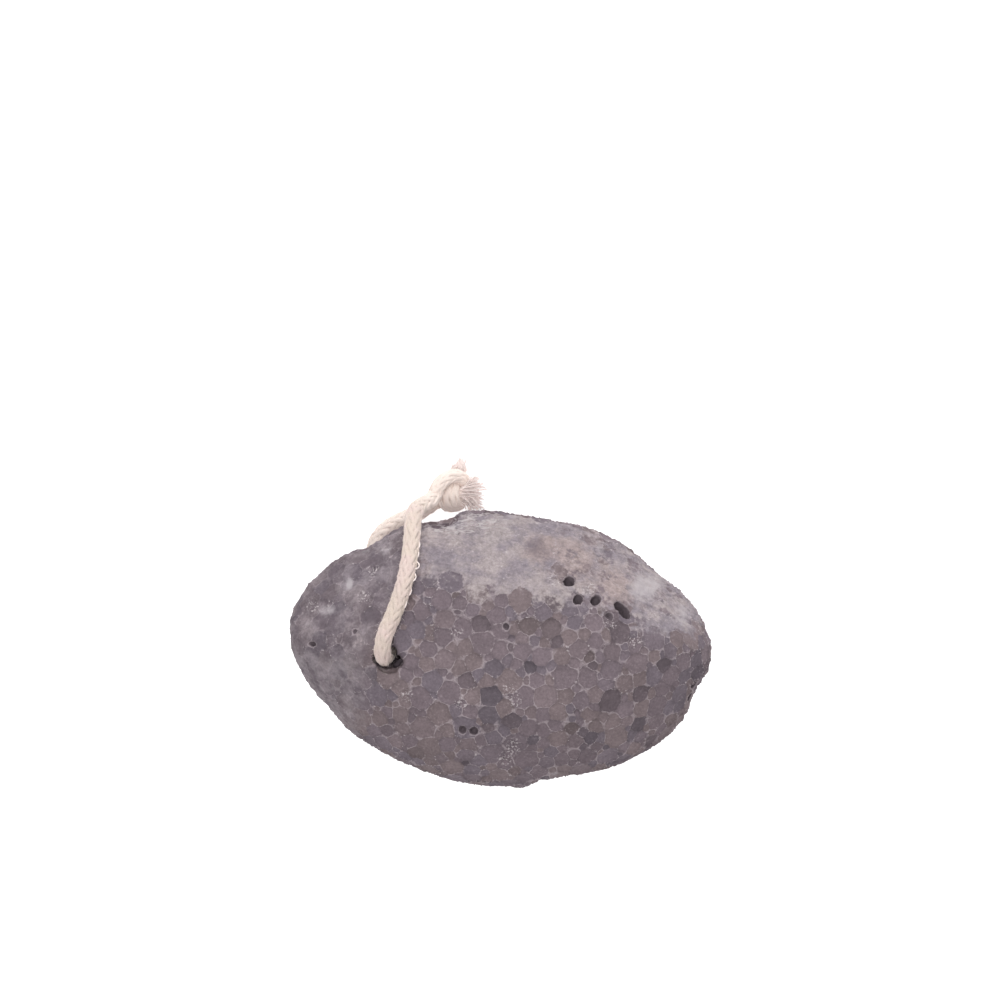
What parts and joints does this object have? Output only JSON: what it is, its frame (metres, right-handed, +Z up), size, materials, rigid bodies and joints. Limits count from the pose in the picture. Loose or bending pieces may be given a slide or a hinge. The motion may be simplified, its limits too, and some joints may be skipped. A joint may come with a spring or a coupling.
{
  "type": "pumice foot stone on a cord",
  "caption": "Lemon-shaped pumice stone for foot care, with a flat face, worn bevels and a slanted hole that holds a knotted cotton hanging cord.",
  "frame": {"origin": "on the table, under the middle of the stone's length and width", "axes": "+X along the stone to its right tip, +Y to the side where the cord is tied, +Z up through the stone's broad face"},
  "size_m": [0.0948, 0.0727, 0.043],
  "materials": {
    "pumice": "matt, cellular, with pale seams and open pores",
    "cotton": "soft undyed braided cotton"
  },
  "bodies": {
    "root": {"stone": "pumice", "cord_loop": "cotton", "cord_knot": "cotton"}
  },
  "joints": []
}
